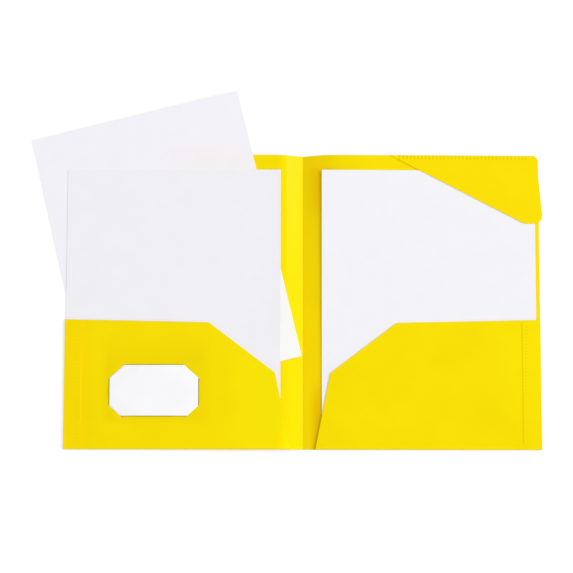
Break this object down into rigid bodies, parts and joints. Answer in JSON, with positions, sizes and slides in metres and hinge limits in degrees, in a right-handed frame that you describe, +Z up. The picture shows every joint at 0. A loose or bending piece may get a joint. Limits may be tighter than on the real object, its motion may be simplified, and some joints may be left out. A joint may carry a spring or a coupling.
{
  "type": "two pocket folder",
  "caption": "Open plastic folder with a creased spine, slanted pockets, a welded corner tab, card slits, and loose letter sheets held in it.",
  "frame": {"origin": "on the table under the middle of the crease, with the folder open and face up", "axes": "+X towards the right cover's outer edge, +Y towards the head of the folder, +Z up out of the open pages"},
  "size_m": [0.5187, 0.365, 0.0074],
  "materials": {
    "poly_sheet": "satin, fine sand texture",
    "paper": "uncoated, matte",
    "card": "smooth, matte"
  },
  "bodies": {
    "right_half": {"right_cover": "poly_sheet", "right_pocket": "poly_sheet", "right_pocket_bottom_fold": "poly_sheet", "right_side_flap": "poly_sheet", "right_side_fold": "poly_sheet", "corner_tab_weld_strip": "poly_sheet"},
    "right_spine": {"right_spine_panel": "poly_sheet"},
    "left_spine": {"left_spine_panel": "poly_sheet"},
    "left_half": {"left_cover": "poly_sheet", "left_pocket": "poly_sheet", "left_pocket_bottom_fold": "poly_sheet", "left_side_flap": "poly_sheet", "left_side_fold": "poly_sheet", "business_card": "card"},
    "corner_tab": {"corner_tab": "poly_sheet"},
    "left_sheet": {"left_sheet": "paper"},
    "tilted_sheet": {"tilted_sheet": "paper"},
    "right_sheet": {"right_sheet": "paper"}
  },
  "joints": [
    {"name": "spine_fold", "type": "hinge", "parent": "right_spine", "child": "left_spine", "pos_m": [0, 0, 0.00012], "axis": [0, 1, 0], "range_deg": [0, 106.06]},
    {"name": "right_flex", "type": "hinge", "parent": "right_half", "child": "right_spine", "pos_m": [0.01169, 0, 0.00533], "axis": [0, 1, 0], "range_deg": [0, 51.23]},
    {"name": "left_flex", "type": "hinge", "parent": "left_spine", "child": "left_half", "pos_m": [-0.01169, 0, 0.00533], "axis": [0, 1, 0], "range_deg": [0, 25.28]},
    {"name": "tab_lift", "type": "hinge", "parent": "right_half", "child": "corner_tab", "pos_m": [0.16238, 0.1449, 0.00299], "axis": [-0.9998, 0, 0.0223], "range_deg": [0, 180], "stiffness_Nm_per_rad": 0.004},
    {"name": "left_sheet_slide", "type": "slide", "parent": "left_half", "child": "left_sheet", "axis": [0, 1, 0], "range_m": [-0.0026, 0.3]},
    {"name": "tilted_sheet_slide", "type": "slide", "parent": "left_half", "child": "tilted_sheet", "axis": [0, 1, 0], "range_m": [-0.015, 0.26]},
    {"name": "right_sheet_slide", "type": "slide", "parent": "right_half", "child": "right_sheet", "axis": [0, 1, 0], "range_m": [-0.0026, 0.0107]}
  ],
  "couplings": [
    {"joint": "right_flex", "follows": "spine_fold", "ratio": 0.48298},
    {"joint": "left_flex", "follows": "spine_fold", "ratio": 0.23835}
  ]
}
